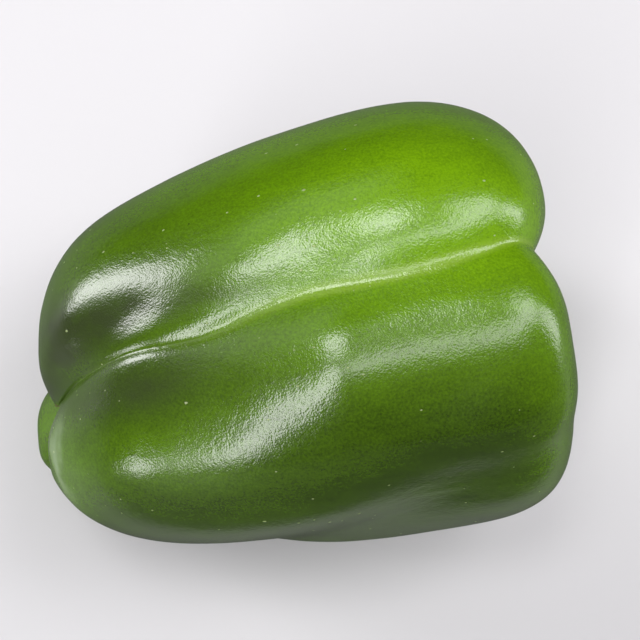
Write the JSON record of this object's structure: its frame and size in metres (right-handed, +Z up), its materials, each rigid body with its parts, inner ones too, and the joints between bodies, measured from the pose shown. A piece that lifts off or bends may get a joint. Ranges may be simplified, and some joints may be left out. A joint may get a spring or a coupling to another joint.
{
  "type": "bell pepper",
  "caption": "Whole fresh green bell pepper lying on its side, with lobed glossy skin and a short cut stem sunk in the shoulders.",
  "frame": {"origin": "on the table, under the middle of the part's box", "axes": "+X from the blossom end to the stem end, +Z up from the table, so the front is -Y"},
  "size_m": [0.1022, 0.082, 0.0802],
  "materials": {
    "skin": "waxy natural gloss, yellow-green along the grooves and darker green on the flanks, with a dusky bloom near the blossom end and a fine orange-peel stipple",
    "stem": "dull pale green plant tissue, ribbed, dry and brownish at the cut end"
  },
  "bodies": {
    "root": {"fruit": "skin", "stem": "stem"}
  },
  "joints": []
}
